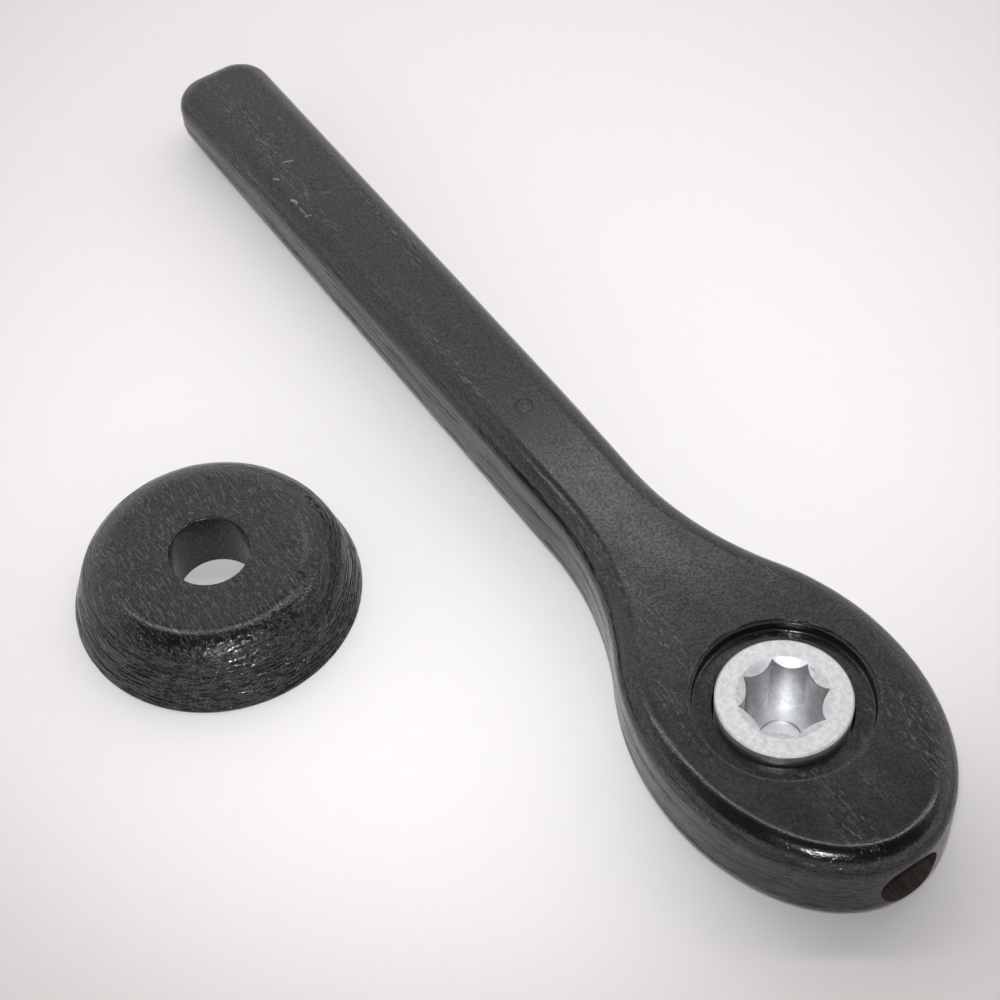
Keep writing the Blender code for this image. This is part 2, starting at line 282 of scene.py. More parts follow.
def carve_grain(piece, depth, layer_pitch, keep_flat):
    """Move every corner along its normal by the open grain's height there; keep_flat gives the
    share of the depth that is left out at each corner."""
    mesh = piece.data
    points = corner_array(mesh)
    normals = corner_array(mesh, "normal")
    height = open_grain(points, normals, depth, layer_pitch) * (1 - keep_flat(points))
    points += normals * height[:, None]
    mesh.vertices.foreach_set("co", points.astype(np.float32).ravel())
    mesh.update()


def mark(mesh, name, values):
    """Store one number for each corner of a mesh under a name that its material reads."""
    attribute = mesh.attributes.new(name, "FLOAT", "POINT")
    attribute.data.foreach_set("value", values.astype(np.float32))


def add(tree, kind, inputs=None, **settings):
    """Add a node with its settings, and give its sockets values or links."""
    made = tree.nodes.new(kind)
    for key, value in settings.items():
        setattr(made, key, value)
    for key, value in (inputs or {}).items():
        if isinstance(value, bpy.types.NodeSocket):
            tree.links.new(value, made.inputs[key])
        else:
            made.inputs[key].default_value = value
    return made


def stretched_noise(tree, coords, scale, detail=2.0, roughness=0.5):
    """Noise whose grain is stretched: scale is in cells per metre along each axis."""
    placed = add(tree, "ShaderNodeMapping", {"Vector": coords, "Scale": scale})
    return add(tree, "ShaderNodeTexNoise", {"Vector": placed.outputs["Vector"], "Scale": 1.0,
                                            "Detail": detail, "Roughness": roughness}).outputs["Fac"]


def remap(tree, value, low, high, to_low=0.0, to_high=1.0):
    """Value stretched from one range to another, with soft ends."""
    node = add(tree, "ShaderNodeMapRange", {"Value": value, "From Min": low, "From Max": high,
                                            "To Min": to_low, "To Max": to_high},
               interpolation_type="SMOOTHSTEP")
    return node.outputs["Result"]


def calculated(tree, operation, a, b):
    """One arithmetic step between two sockets or numbers."""
    return add(tree, "ShaderNodeMath", {0: a, 1: b}, operation=operation).outputs["Value"]


def colour_mix(tree, factor, low, high):
    """Colour between two, each a colour or a socket, by a factor from 0 to 1."""
    node = tree.nodes.new("ShaderNodeMix")
    node.data_type = "RGBA"
    sockets = (node.inputs["Factor"], node.inputs[6], node.inputs[7])
    for socket, value in zip(sockets, (factor, low, high)):
        if isinstance(value, bpy.types.NodeSocket):
            tree.links.new(value, socket)
        else:
            socket.default_value = value
    return node.outputs[2]


def new_finish(name):
    """Empty material: its tree, its shader and the Object coordinates it is drawn in."""
    made = bpy.data.materials.new(name)
    made.use_nodes = True
    tree = made.node_tree
    shader = tree.nodes["Principled BSDF"]
    coords = tree.nodes.new("ShaderNodeTexCoord").outputs["Object"]
    return made, tree, shader, coords


def bumped(tree, height, distance, under=None):
    """Bump of a given depth in metres, laid over an earlier one where there is one."""
    inputs = {"Height": height, "Distance": distance, "Strength": 1.0}
    if under is not None:
        inputs["Normal"] = under
    return add(tree, "ShaderNodeBump", inputs).outputs["Normal"]


def worn_dash(tree, coords, place, turn, half_length, half_width):
    """Soft-edged stroke: 1 along its middle and 0 outside an ellipse of that length and width,
    drawn down through the surface as far as reach."""
    reach = 0.01
    moved = add(tree, "ShaderNodeMapping", {
        "Vector": coords, "Location": place, "Rotation": (0, 0, turn),
        "Scale": (half_length, half_width, reach)}, vector_type="TEXTURE")
    ball = add(tree, "ShaderNodeTexGradient", {"Vector": moved.outputs["Vector"]},
               gradient_type="SPHERICAL")
    return remap(tree, ball.outputs["Fac"], 0.0, 0.35)


lacquer_dark = (0.0055, 0.0055, 0.0060, 1)
lacquer_light = (0.0085, 0.0082, 0.0082, 1)
rubbed_grey = (0.10, 0.10, 0.10, 1)
speckle_depth = 0.000005
groove_bump = 0.00008


def lacquered_wood(name, pore_depth, pore_spread, grooving, wrinkle_depth, worn=()):
    """Black satin lacquer on open-grained wood: short pores along X, crowded together in bands
    and thinned to pore_spread between them; on the flanks fine grooves, by the share grooving,
    and a skin drawn into wrinkles as it dried; fine speckle, cloudy gloss, rubbed marks where
    the work has been handled, and a worn edge where the 'wear' attribute says."""
    made, tree, shader, coords = new_finish(name)
    flank = add(tree, "ShaderNodeAttribute", attribute_name="flank").outputs["Fac"]
    bands = remap(tree, stretched_noise(tree, coords, (22, 210, 210), 1.0), 0.52, 0.66,
                  pore_spread, 1.0)
    pores = remap(tree, stretched_noise(tree, coords, (450, 2600, 2600), 1.0), 0.57, 0.66)
    pores = calculated(tree, "MULTIPLY", pores, bands)
    lines = remap(tree, stretched_noise(tree, coords, (30, 600, 2300), 1.0), 0.51, 0.58)
    lines = calculated(tree, "MULTIPLY", lines, calculated(tree, "MULTIPLY", flank, grooving))
    wrinkles = stretched_noise(tree, coords, (700, 900, 1700), 2.0, 0.55)
    wrinkles = calculated(tree, "ABSOLUTE", calculated(tree, "SUBTRACT", wrinkles, 0.5), 0.0)
    wrinkles = calculated(tree, "MULTIPLY", remap(tree, wrinkles, 0.0, 0.09),
                          remap(tree, flank, 0.0, 0.3, 0.1, 1.0))
    speckle = stretched_noise(tree, coords, (2600, 3000, 3000), 2.0, 0.7)
    cloud = stretched_noise(tree, coords, (45, 90, 90), 3.0, 0.55)
    wear = add(tree, "ShaderNodeAttribute", attribute_name="wear").outputs["Fac"]
    base = colour_mix(tree, remap(tree, cloud, 0.35, 0.65), lacquer_dark, lacquer_light)
    base = colour_mix(tree, calculated(tree, "MULTIPLY", wear, 0.7), base, rubbed_grey)
    breaks = remap(tree, stretched_noise(tree, coords, (1500, 1500, 900), 2.0), 0.32, 0.48)
    for place, turn, half_length, half_width, colour in worn:
        dash = worn_dash(tree, coords, place, turn, half_length, half_width)
        base = colour_mix(tree, calculated(tree, "MULTIPLY", dash, breaks), base, colour)
    tree.links.new(base, shader.inputs["Base Color"])
    gloss = remap(tree, cloud, 0.3, 0.7, 0.14, 0.22)
    tree.links.new(gloss, shader.inputs["Roughness"])
    shine = remap(tree, speckle, 0.36, 0.64, 0.32, 0.70)
    shine = calculated(tree, "MULTIPLY", shine, remap(tree, lines, 0.0, 1.0, 1.0, 0.25))
    shine = calculated(tree, "ADD", shine, calculated(tree, "MULTIPLY", pores, 0.5))
    tree.links.new(shine, shader.inputs["Specular IOR Level"])
    relief = bumped(tree, speckle, speckle_depth)
    relief = bumped(tree, wrinkles, wrinkle_depth, relief)
    relief = bumped(tree, calculated(tree, "SUBTRACT", 1.0, lines), groove_bump, relief)
    relief = bumped(tree, calculated(tree, "SUBTRACT", 1.0, pores), pore_depth, relief)
    tree.links.new(relief, shader.inputs["Normal"])
    return made


bored_dark = (0.030, 0.019, 0.017, 1)
bored_light = (0.062, 0.042, 0.036, 1)
bored_ring = (0.022, 0.014, 0.012, 1)


def bare_wood(name):
    """Stained but unlacquered wood inside a bored hole: reddish brown, drawn along X."""
    made, tree, shader, coords = new_finish(name)
    fibres = stretched_noise(tree, coords, (150, 1500, 1500), 3.0, 0.6)
    rings = stretched_noise(tree, coords, (20, 200, 700), 2.0)
    base = colour_mix(tree, remap(tree, fibres, 0.35, 0.65), bored_dark, bored_light)
    base = colour_mix(tree, remap(tree, rings, 0.5, 0.7), base, bored_ring)
    tree.links.new(base, shader.inputs["Base Color"])
    tree.links.new(remap(tree, fibres, 0.3, 0.7, 0.62, 0.82), shader.inputs["Roughness"])
    tree.links.new(bumped(tree, fibres, 0.00008), shader.inputs["Normal"])
    return made


# Lever's shape.  Each place along the plan carries a section: level show face, its rounding,
# the flank, the back edge's rounding and the back face, whose inner end lies on the rim of the
# recess round the head and on the centre line along the grip.  At the tip the inner ends are
# drawn together, so that the sections fan out round it.
plan_count = 440
tip_fan_from = tip_x - 0.006
tip_fan_to = tip_x - 0.012
line_end_x = 0.040
ring_start_x = 0.026
show_line_end_x = -0.018
rim_margin = 0.00015

plan = lever_plan(plan_count)
outward = plan_normals(plan)
tip_ends = np.argmax(plan[:, 0] < tip_fan_to)
line_ends = np.argmax(plan[:, 0] < line_end_x)
ring_starts = np.argmax(plan[:, 0] < ring_start_x)
rim_radius = recess_radius + lip_width + rim_margin
steps = np.arange(plan_count)
fan_x = np.interp(steps, [0, tip_ends], [tip_fan_from, plan[tip_ends, 0]])
centre_x = np.where(steps < tip_ends, fan_x, plan[:, 0])
to_rim_x = np.interp(steps, [line_ends, ring_starts], [plan[line_ends, 0], rim_radius])
back_x = np.where(steps > line_ends, to_rim_x, centre_x)
rim_turn = np.interp(steps, [ring_starts, plan_count - 1], [0, math.pi])
on_rim = steps >= ring_starts
back_inner = np.stack([np.where(on_rim, rim_radius * np.cos(rim_turn), back_x),
                       np.where(on_rim, rim_radius * np.sin(rim_turn), 0)], 1)
back_inner[-1] = (-rim_radius, 0)
to_end_x = np.interp(steps, [line_ends, plan_count - 1], [plan[line_ends, 0], show_line_end_x])
show_x = np.where(steps > line_ends, to_end_x, centre_x)
show_inner = np.stack([show_x, np.zeros(plan_count)], 1)


show_rows = 7
show_edge_rows = 15
flank_rows = 37
back_edge_rows = 19
back_rows = 15


def section_rows(inner_low, inner_high):
    """Rows of the lever's left half from the show face's centre line up to the back face's inner
    line: straight rows between two lines, and quarter circles at both edges."""
    rows = []
    low_edge = plan - outward * show_edge_radius
    for t in np.linspace(0, 1, show_rows)[:-1]:
        flat = inner_low + (low_edge - inner_low) * t
        rows.append(np.column_stack([flat, np.zeros(plan_count)]))
    for a in np.linspace(0, math.pi / 2, show_edge_rows)[:-1]:
        flat = plan - outward * show_edge_radius * (1 - math.sin(a))
        height = np.full(plan_count, show_edge_radius * (1 - math.cos(a)))
        rows.append(np.column_stack([flat, height]))
    top = back_height(plan[:, 0]) - back_edge_radius
    for t in np.linspace(0, 1, flank_rows)[:-1]:
        rows.append(np.column_stack([plan, show_edge_radius + (top - show_edge_radius) * t]))
    for a in np.linspace(0, math.pi / 2, back_edge_rows)[:-1]:
        flat = plan - outward * back_edge_radius * (1 - math.cos(a))
        height = back_height(flat[:, 0]) - back_edge_radius * (1 - math.sin(a))
        rows.append(np.column_stack([flat, height]))
    high_edge = plan - outward * back_edge_radius
    for t in np.linspace(0, 1, back_rows):
        flat = high_edge + (inner_high - high_edge) * t
        rows.append(np.column_stack([flat, back_height(flat[:, 0])]))
    return np.stack(rows, axis=1)


left_half = section_rows(show_inner, back_inner)
right_half = left_half[-2:0:-1] * (1, -1, 1)
outside = np.concatenate([left_half, right_half])
rim_angles = np.concatenate([rim_turn[ring_starts:], -rim_turn[plan_count - 2:ring_starts:-1]])
seat_profile = softened(
    [(rim_radius, head_thickness),
     (recess_radius + lip_width, head_thickness),
     (recess_radius + lip_width, head_thickness - lip_depth),
     (recess_radius, head_thickness - lip_depth),
     (recess_radius, head_thickness - recess_depth),
     (insert_radius + gap, head_thickness - recess_depth),
     (insert_radius + gap, insert_base - gap),
     (0, insert_base - gap)],
    (0.00012, 0.0001, 0.00012, 0.0004, 0.00015, 0.0002))
lever = piece_from("lever", [skin(outside), skin(turned(seat_profile, rim_angles))])


def spare_fits(points):
    """1 on the seat of the insert, beside the plugs and the mouth of the clamp screw's hole, and
    under the show face, which stay smooth, and 0 elsewhere."""
    from_axis = np.hypot(points[:, 0], points[:, 1])
    in_seat = 1 - smooth_step(recess_radius - 0.0006, recess_radius + 0.0009, from_axis)
    from_hole = np.hypot(points[:, 1], points[:, 2] - clamp_z)
    by_hole = (1 - smooth_step(0.0058, 0.0072, from_hole)) * (points[:, 0] < head_hole_x)
    plug_distance = np.min([np.hypot(points[:, 0] - x, points[:, 1]) for x in plug_places], axis=0)
    by_plug = (1 - smooth_step(0.0014, 0.0024, plug_distance)) * (points[:, 2] > clamp_z)
    under = 1 - smooth_step(0.0, 0.0006, points[:, 2])
    return np.maximum.reduce([in_seat * (points[:, 2] > 0.001), by_hole, by_plug, under])


carve_grain(lever, depth=0.00011, layer_pitch=0.0056, keep_flat=spare_fits)


def along_x(corners):
    """The same corners with their Z axis laid along +X."""
    return np.stack([corners[:, 2], corners[:, 1], -corners[:, 0]], 1)


def bored(piece, cutters):
    """Cut closed skins out of a piece and keep the result as its own mesh."""
    cutter = piece_from("cutter", cutters)
    modifier = piece.modifiers.new("bores", "BOOLEAN")
    modifier.operation = "DIFFERENCE"
    modifier.solver = "EXACT"
    modifier.object = cutter
    evaluated = piece.evaluated_get(bpy.context.evaluated_depsgraph_get())
    result = bpy.data.meshes.new_from_object(evaluated)
    piece.modifiers.clear()
    piece.data = result
    bpy.data.objects.remove(cutter)


head_clearance = 0.0004
wide = screw_head_radius + head_clearance
narrow = thread_radius + gap
overcut = 0.002
bore_piece = 0.003
plug_rim_gap = 0.00004
hole_start = -head_end - overcut
hole_end = -insert_radius + overcut
hole_profile = softened(
    [(0, hole_start), (wide, hole_start), (wide, head_hole_x), (narrow, head_hole_x),
     (narrow, hole_end), (0, hole_end)],
    (0.0002, 0.0003, 0.0002, 0.0002), widest=bore_piece)
full_turn = np.linspace(0, 2 * math.pi, 96, endpoint=False)
hole_corners, hole_faces = skin(turned(hole_profile, full_turn))
cutters = [(along_x(hole_corners) + (0, 0, clamp_z), hole_faces)]
for x in plug_places:
    top = float(back_height(x))
    base = top - plug_depth - gap
    rim = plug_radius + plug_rim_gap
    plug_hole = softened([(0, base), (rim, base), (rim, top + overcut), (0, top + overcut)],
                         (0.0001, 0.0001), widest=bore_piece)
    hole_corners, hole_faces = skin(turned(plug_hole, full_turn[::2]))
    cutters.append((hole_corners + (x, 0, 0), hole_faces))
bored(lever, cutters)
lever.data.shade_smooth()
lever.data.set_sharp_from_angle(angle=math.radians(38))

# The lip is worn in places, and the flanks take the fine grooves of the finish.
worn_width = 0.0001
worn_depth = 0.0003
points = corner_array(lever.data)
from_axis = np.hypot(points[:, 0], points[:, 1])
on_lip = np.exp(-((from_axis - recess_radius - lip_width) / worn_width) ** 2)
broken = smooth_step(0.45, 0.75, value_noise(points, (0.0016, 0.0016, 0.002), 21))
mark(lever.data, "wear", on_lip * broken * (points[:, 2] > head_thickness - worn_depth))
flank = 1 - corner_array(lever.data, "normal")[:, 2] ** 2
mark(lever.data, "flank", flank * (1 - spare_fits(points)))

# Chips and scratches by the plug near the tip: place, turn, half length, half width and colour.
chips = (
    ((0.1449, 0.0061, 0.0149), 0.3, 0.0011, 0.00040, (0.24, 0.20, 0.13, 1)),
    ((0.1424, 0.0062, 0.0150), 0.02, 0.0030, 0.00022, (0.12, 0.10, 0.07, 1)),
    ((0.1397, 0.0060, 0.0152), 1.3, 0.0008, 0.00030, (0.20, 0.17, 0.10, 1)),
    ((0.1556, 0.0013, 0.0144), 1.2, 0.0013, 0.00026, (0.14, 0.13, 0.12, 1)),
    ((0.1525, 0.0058, 0.0146), 0.6, 0.0009, 0.00030, (0.16, 0.14, 0.13, 1)),
    ((0.1432, 0.0000, 0.0150), 1.1, 0.0012, 0.00020, (0.09, 0.06, 0.06, 1)))
lever_finish = lacquered_wood("lacquered_wood", pore_depth=0.00003, pore_spread=0.03, grooving=0.5,
                              wrinkle_depth=0.000008, worn=chips)
hole_wood = bare_wood("bare_wood")
lever.data.materials.clear()
lever.data.materials.append(lever_finish)
lever.data.materials.append(hole_wood)
middles = np.empty(len(lever.data.polygons) * 3, np.float32)
lever.data.polygons.foreach_get("center", middles)
middles = middles.reshape(-1, 3)
hole_margin = 0.00004
in_hole = np.hypot(middles[:, 1], middles[:, 2] - clamp_z) < wide + hole_margin
in_hole &= middles[:, 0] < -insert_radius - hole_margin
lever.data.polygons.foreach_set("material_index", in_hole.astype(np.int32))
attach(lever, "lever")
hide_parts("lever_body")

# ------------------------------------------------------------------------------------------
# Socket insert.  Turned from aluminium bar, with two glue grooves round it, a broached star
# socket for a square spindle, a countersunk mouth and a shallow pilot hole in its floor, and
# tapped from the side for the clamp screw.  Glued into the lever a little proud of the recess.

star_points = 8
cusp_radius = 0.0075
waist_radius = 0.0061
sink_radius = 0.0077
sink_half_angle = math.radians(60)
rim_chamfer = 0.0003
floor_thickness = 0.0030
socket_floor = insert_base + floor_thickness
pilot_radius = 0.0036
pilot_depth = 0.0006
groove_depth = 0.0005
groove_width = 0.0016
steps_per_bow = 32
thread_pitch = 0.001
tapped_ripple = 0.0001
tapped_rows = 60


def star_radius(turn):
    """Radius of the star socket at each angle: where a ray from the axis first meets the arc
    that bows inwards between two neighbouring cusps."""
    half = math.pi / star_points
    chord = cusp_radius * math.sin(half)
    rise = cusp_radius * math.cos(half) - waist_radius
    bow = (chord ** 2 + rise ** 2) / (2 * rise)
    off = (turn + half) % (2 * half) - half
    reach = waist_radius + bow
    return reach * np.cos(off) - np.sqrt(bow ** 2 - (reach * np.sin(off)) ** 2)


def shares(count):
    """Equal shares of a way, as one row, from the first step up to the whole."""
    return np.linspace(0, 1, count + 1)[None, 1:]


insert_steps = star_points * steps_per_bow
insert_turn = 2 * math.pi * np.arange(insert_steps) / insert_steps
outer_corners = [(0, insert_base), (insert_radius, insert_base)]
for middle in ((insert_base + clamp_z - thread_radius) / 2,
               (clamp_z + thread_radius + head_thickness - recess_depth) / 2):
    low = middle - groove_width / 2
    high = middle + groove_width / 2
    outer_corners += [(insert_radius, low), (insert_radius - groove_depth, low),
                      (insert_radius - groove_depth, high), (insert_radius, high)]
outer_corners += [(insert_radius, insert_top - rim_chamfer),
                  (insert_radius - rim_chamfer, insert_top),
                  (sink_radius, insert_top)]
outer_profile = softened(outer_corners, [0.0003] + [0.0001] * 8 + [0.00008] * 2, widest=0.0012)
outer = turned(outer_profile, insert_turn)

star = star_radius(insert_turn)[:, None]
mouth = sink_radius + (star - sink_radius) * shares(6)
mouth_height = insert_top - (sink_radius - mouth) / math.tan(sink_half_angle)
wall_top = mouth_height[:, -1:]
wall_height = wall_top + (socket_floor - wall_top) * shares(24)
wall = np.broadcast_to(star, wall_height.shape)
floor = star + (pilot_radius - star) * shares(6)
floor_height = np.full_like(floor, socket_floor)
pilot_profile = softened([(pilot_radius, socket_floor), (pilot_radius, socket_floor - pilot_depth),
                          (0, socket_floor - pilot_depth)], [0.00015])[1:]
pilot = np.broadcast_to(pilot_profile[None, :, 0], (len(insert_turn), len(pilot_profile)))
pilot_height = np.broadcast_to(pilot_profile[None, :, 1], pilot.shape)
inner_radius = np.concatenate([np.full_like(star, sink_radius), mouth, wall, floor, pilot], axis=1)
inner_height = np.concatenate([np.full_like(star, insert_top), mouth_height, wall_height,
                               floor_height, pilot_height], axis=1)
inner = np.stack([inner_radius * np.cos(insert_turn)[:, None],
                  inner_radius * np.sin(insert_turn)[:, None], inner_height], axis=2)


aluminium_dull = (0.56, 0.56, 0.575, 1)
aluminium_bright = (0.68, 0.68, 0.69, 1)
aluminium_nick = (0.40, 0.40, 0.42, 1)
# Lighter colour for the socket's floor: partly its end-mill finish, partly a painted highlight.
milled_floor_and_highlight = (0.84, 0.84, 0.85, 1)


def machined_aluminium(name):
    """Satin aluminium off the lathe: fine rings round Z that the light draws out, a few
    scratches across them and faint mottling; smoother down in the broached socket.  The socket's
    floor and pilot hole get a lighter colour, partly their end-mill finish and partly a painted
    highlight."""
    made, tree, shader, coords = new_finish(name)
    flat = add(tree, "ShaderNodeVectorMath", {0: coords, 1: (1, 1, 0)}, operation="MULTIPLY")
    radius = add(tree, "ShaderNodeVectorMath", {0: flat.outputs["Vector"]}, operation="LENGTH")
    heights = add(tree, "ShaderNodeSeparateXYZ", {"Vector": coords}).outputs["Z"]
    ring_place = add(tree, "ShaderNodeCombineXYZ", {"X": radius.outputs["Value"], "Z": heights})
    rings = stretched_noise(tree, ring_place.outputs["Vector"], (7000, 1, 3500), 2.0, 0.7)
    nicks = stretched_noise(tree, coords, (500, 2200, 900), 3.0, 0.6)
    cloud = stretched_noise(tree, coords, (900, 900, 900), 4.0, 0.7)
    base = colour_mix(tree, remap(tree, cloud, 0.35, 0.65), aluminium_dull, aluminium_bright)
    base = colour_mix(tree, remap(tree, nicks, 0.62, 0.72), base, aluminium_nick)
    # Painted highlight: the socket's floor and pilot hole are mixed halfway to a lighter colour,
    # partly for their end-mill finish.
    milled_and_highlit = remap(tree, heights, socket_floor + 0.0002, socket_floor + 0.0005, 0.5, 0.0)
    base = colour_mix(tree, milled_and_highlit, base, milled_floor_and_highlight)
    tree.links.new(base, shader.inputs["Base Color"])
    broached = remap(tree, heights, insert_top - 0.0020, insert_top - 0.0011, 0.37, 0.52)
    gloss = calculated(tree, "ADD", broached, calculated(tree, "MULTIPLY", rings, 0.10))
    tree.links.new(gloss, shader.inputs["Roughness"])
    relief = bumped(tree, rings, 0.000012)
    relief = bumped(tree, nicks, 0.00001, relief)
    tree.links.new(relief, shader.inputs["Normal"])
    shader.inputs["Metallic"].default_value = 1.0
    return made


aluminium = machined_aluminium("machined_aluminium")
insert = piece_from("star_insert", [skin(outer), skin(inner)])
tapped_length = np.linspace(-insert_radius - overcut, -waist_radius + 0.0035, tapped_rows)
tapped_radius = narrow - tapped_ripple * (1 + np.cos(2 * math.pi * tapped_length / thread_pitch))
tapped_profile = np.column_stack([np.pad(tapped_radius, 1), np.pad(tapped_length, 1, mode="edge")])
tapped_corners, tapped_faces = skin(turned(tapped_profile, full_turn[::2]))
bored(insert, [(along_x(tapped_corners) + (0, 0, clamp_z), tapped_faces)])
insert.data.shade_smooth()
insert.data.set_sharp_from_angle(angle=math.radians(24))
insert.data.materials.clear()
insert.data.materials.append(aluminium)
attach(insert, "lever")
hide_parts("socket_insert")

# ------------------------------------------------------------------------------------------
# Clamp screw.  M6 cap screw of blackened steel in the end of the head: knurled head with a
# hexagon socket, and a thread that runs through the insert's tapped hole to press the spindle.

screw_low, screw_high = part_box("clamp_screw")
head_length = 0.006
hex_half_width = 0.0025
hex_depth = 0.003
knurl_count = 60
knurl_depth = 0.00011
thread_depth = 0.00055
thread_runout = 0.0012
screw_steps = 240
thread_rows = 90
screw_length = screw_high.x - screw_low.x


def screw_grid():
    """Screw about Z with its head down: radius and height over the turn and a profile.  The head's
    side is knurled by a cosine round the turn, the hexagon's radius is its half width over the
    cosine of the angle from the middle of a side, and the thread is a wave that climbs one
    pitch a turn."""
    turn = np.linspace(0, 2 * math.pi, screw_steps, endpoint=False)[:, None]
    from_side = (turn + math.pi / 6) % (math.pi / 3) - math.pi / 6
    hexagon = hex_half_width / np.cos(from_side)
    socket = [(0.0, hex_depth + 0.0008), (0.55 * hexagon, hex_depth + 0.0005)]
    socket += [(hexagon, h) for h in np.linspace(hex_depth, 0.0003, 9)]
    socket += [(hexagon + 0.00025, 0.0)]
    knurl = knurl_depth * (0.5 + 0.5 * np.cos(knurl_count * turn))
    head = [(screw_head_radius - 0.0006, 0.0), (screw_head_radius - 0.00015, 0.00015),
            (screw_head_radius, 0.0005), (screw_head_radius, 0.0008)]
    head += [(screw_head_radius - knurl, h) for h in np.linspace(0.0011, 0.0051, 9)]
    head += [(screw_head_radius, 0.0054), (screw_head_radius - 0.0002, head_length),
             (thread_radius + 0.0003, head_length), (thread_radius - 0.0001, head_length + 0.0004)]
    start = head_length + thread_runout
    end = screw_length - thread_runout
    climb = np.linspace(start, end, thread_rows)[None, :]
    crest = 0.5 + 0.5 * np.cos(2 * math.pi * (climb / thread_pitch - turn / (2 * math.pi)))
    fade = np.minimum(1, np.minimum(climb - start, end - climb) / (thread_runout / 2))
    thread = [(thread_radius - thread_depth * (1 - crest) * fade, climb)]
    point = [(thread_radius, screw_length - 0.0009), (thread_radius - 0.0008, screw_length),
             (0.0, screw_length)]
    columns = [np.broadcast_arrays(radius, height, turn)[:2]
               for radius, height in socket + head + thread + point]
    radius, height = (np.concatenate(values, axis=1) for values in zip(*columns))
    return np.stack([radius * np.cos(turn), radius * np.sin(turn), height], axis=2)


oxide_black = (0.055, 0.052, 0.050, 1)
oxide_rubbed = (0.22, 0.21, 0.20, 1)


def blackened_steel(name):
    """Oiled black-oxide steel: near-black metal whose high spots have rubbed to grey."""
    made, tree, shader, coords = new_finish(name)
    rubbed = remap(tree, stretched_noise(tree, coords, (900, 900, 900), 4.0, 0.6), 0.5, 0.75)
    base = colour_mix(tree, rubbed, oxide_black, oxide_rubbed)
    tree.links.new(base, shader.inputs["Base Color"])
    tree.links.new(remap(tree, rubbed, 0, 1, 0.44, 0.30), shader.inputs["Roughness"])
    pits = stretched_noise(tree, coords, (4000, 4000, 4000), 2.0)
    tree.links.new(bumped(tree, pits, 0.000008), shader.inputs["Normal"])
    shader.inputs["Metallic"].default_value = 1.0
    return made


screw_corners, screw_faces = skin(screw_grid())
screw_corners = along_x(screw_corners) + (screw_low.x, 0, clamp_z)
screw = piece_from("cap_screw", [(screw_corners, screw_faces)], [blackened_steel("blackened_steel")])
screw.data.set_sharp_from_angle(angle=math.radians(35))
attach(screw, "clamp_screw")
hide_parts("clamp_screw")

# ------------------------------------------------------------------------------------------
# Filler plugs.  Two small dowels that close screw holes along the middle of the grip, cut
# flush with the back face and lacquered over, so that only their outline shows.

plug_crown = 0.00002
plug_sloped_depth = 0.001
plug_finish = lacquered_wood("lacquered_filler", pore_depth=0.00003, pore_spread=0.03,
                             grooving=0.5, wrinkle_depth=0.000008)
for number, x in enumerate(plug_places, start=1):
    top = float(back_height(x))
    plug_profile = softened([(0, top - plug_depth), (plug_radius, top - plug_depth),
                             (plug_radius, top - plug_crown), (0, top + plug_crown)],
                            (0.0002, 0.0001), widest=0.0003)
    plug_grid = turned(plug_profile, full_turn[::2]) + (x, 0, 0)
    slope = back_height(plug_grid[..., 0]) - top
    plug_grid[..., 2] += np.where(plug_grid[..., 2] > top - plug_sloped_depth, slope, 0)
    plug = piece_from(f"dowel_{number}", [skin(plug_grid)], [plug_finish])
    plug.data.set_sharp_from_angle(angle=math.radians(50))
    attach(plug, "lever")
    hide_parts(f"filler_plug_{number}")

# ------------------------------------------------------------------------------------------
# Collar.  Loose ring that stands under the lever on the real thing: turned from the same wood,
# with a coned side, a rounded rim, a flat top and a plain bore, and lacquered the same black.

collar_low, collar_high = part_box("collar")
collar_x = (collar_low.x + collar_high.x) / 2
collar_y = (collar_low.y + collar_high.y) / 2
collar_base_radius = (collar_high.x - collar_low.x) / 2
collar_height = collar_high.z
collar_flat_radius = 0.0158
collar_rim_radius = 0.0078
collar_bore_radius = 0.0070
collar_foot = 0.0003
collar_side_rows = 96
collar_steps = 540


def collar_profile():
    """Half section: base, small foot, straight cone side, an arc that touches it and the flat
    top, the flat and the bore."""
    rim = np.array([collar_flat_radius, collar_height - collar_rim_radius])
    foot = np.array([collar_base_radius, collar_foot])
    to_rim = rim - foot
    reach = np.linalg.norm(to_rim)
    lean = math.atan2(to_rim[1], to_rim[0]) - math.asin(collar_rim_radius / reach)
    bend = arc_points(rim, collar_rim_radius, lean - math.pi / 2, math.pi / 2)
    side = even_steps(np.vstack([foot[None], bend]), collar_side_rows)
    base = softened([(collar_bore_radius, 0.0), (collar_base_radius - 0.0001, 0.0), foot],
                    [0.0001], widest=0.0016)
    flat = softened([side[-1], (collar_bore_radius, collar_height), (collar_bore_radius, 0.0)],
                    [0.0003], widest=0.0005)
    return np.vstack([base[:-1], side[:-1], flat])


collar_turn = np.linspace(0, 2 * math.pi, collar_steps, endpoint=False)
collar_grid = turned(collar_profile(), collar_turn) + (collar_x, collar_y, 0)
collar_finish = lacquered_wood("lacquered_collar_wood", pore_depth=0.00004, pore_spread=0.9,
                               grooving=1.0, wrinkle_depth=0.00004)
collar = piece_from("cone_collar", [skin(collar_grid)], [collar_finish])


def spare_bore(points):
    """1 in the bore and under the base, which stay smooth, and 0 on the outside."""
    from_axis = np.hypot(points[:, 0] - collar_x, points[:, 1] - collar_y)
    in_bore = 1 - smooth_step(collar_bore_radius, collar_bore_radius + 0.0008, from_axis)
    low = 1 - smooth_step(0.0, 0.0006, points[:, 2])
    return np.maximum(in_bore, low)


